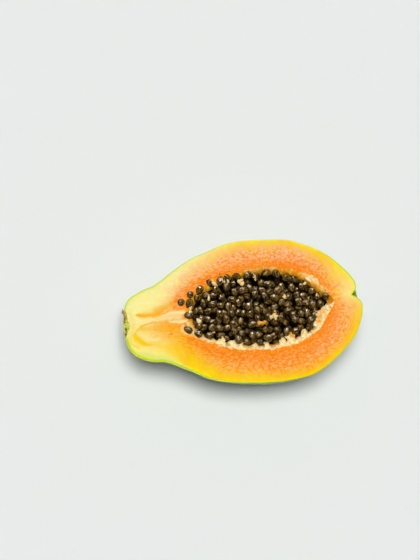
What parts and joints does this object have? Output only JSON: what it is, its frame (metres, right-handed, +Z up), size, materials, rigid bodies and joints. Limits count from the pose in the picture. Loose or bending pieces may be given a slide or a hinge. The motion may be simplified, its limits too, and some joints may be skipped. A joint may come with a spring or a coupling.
{
  "type": "papaya half",
  "caption": "Half a ripe papaya, cut lengthwise, resting on its skin with the cut face level: orange flesh round a cavity full of dark seeds.",
  "frame": {"origin": "middle of the small flat spot under the belly that the half rests on", "axes": "+X along the fruit from the stem end to the blossom end, +Z up out of the cut face, +Y across the fruit"},
  "size_m": [0.1662, 0.1001, 0.0484],
  "materials": {
    "fruit": "moist orange flesh under a thin, waxy yellow-green skin",
    "seed": "wet, glossy, dark olive-brown coat over a ridged black seed"
  },
  "bodies": {
    "root": {"papaya_half": "fruit", "seed_bed": "seed", "seed_01": "seed", "seed_02": "seed", "seed_03": "seed", "seed_04": "seed", "seed_05": "seed", "seed_06": "seed", "seed_07": "seed", "seed_08": "seed", "seed_09": "seed", "seed_10": "seed", "seed_11": "seed", "seed_12": "seed", "seed_13": "seed", "seed_14": "seed", "seed_15": "seed", "seed_16": "seed", "seed_17": "seed", "seed_18": "seed", "seed_19": "seed", "seed_20": "seed", "seed_21": "seed", "seed_22": "seed", "seed_23": "seed", "seed_24": "seed", "seed_25": "seed", "seed_26": "seed", "seed_27": "seed", "seed_28": "seed", "seed_29": "seed", "seed_30": "seed", "seed_31": "seed", "seed_32": "seed", "seed_33": "seed", "seed_34": "seed", "seed_35": "seed", "seed_36": "seed", "seed_37": "seed", "seed_38": "seed", "seed_39": "seed", "seed_40": "seed", "seed_41": "seed", "seed_42": "seed", "seed_43": "seed", "seed_44": "seed", "seed_45": "seed", "seed_46": "seed", "seed_47": "seed", "seed_48": "seed", "seed_49": "seed", "seed_50": "seed", "seed_51": "seed", "seed_52": "seed", "seed_53": "seed", "seed_54": "seed", "seed_55": "seed", "seed_56": "seed"}
  },
  "joints": []
}
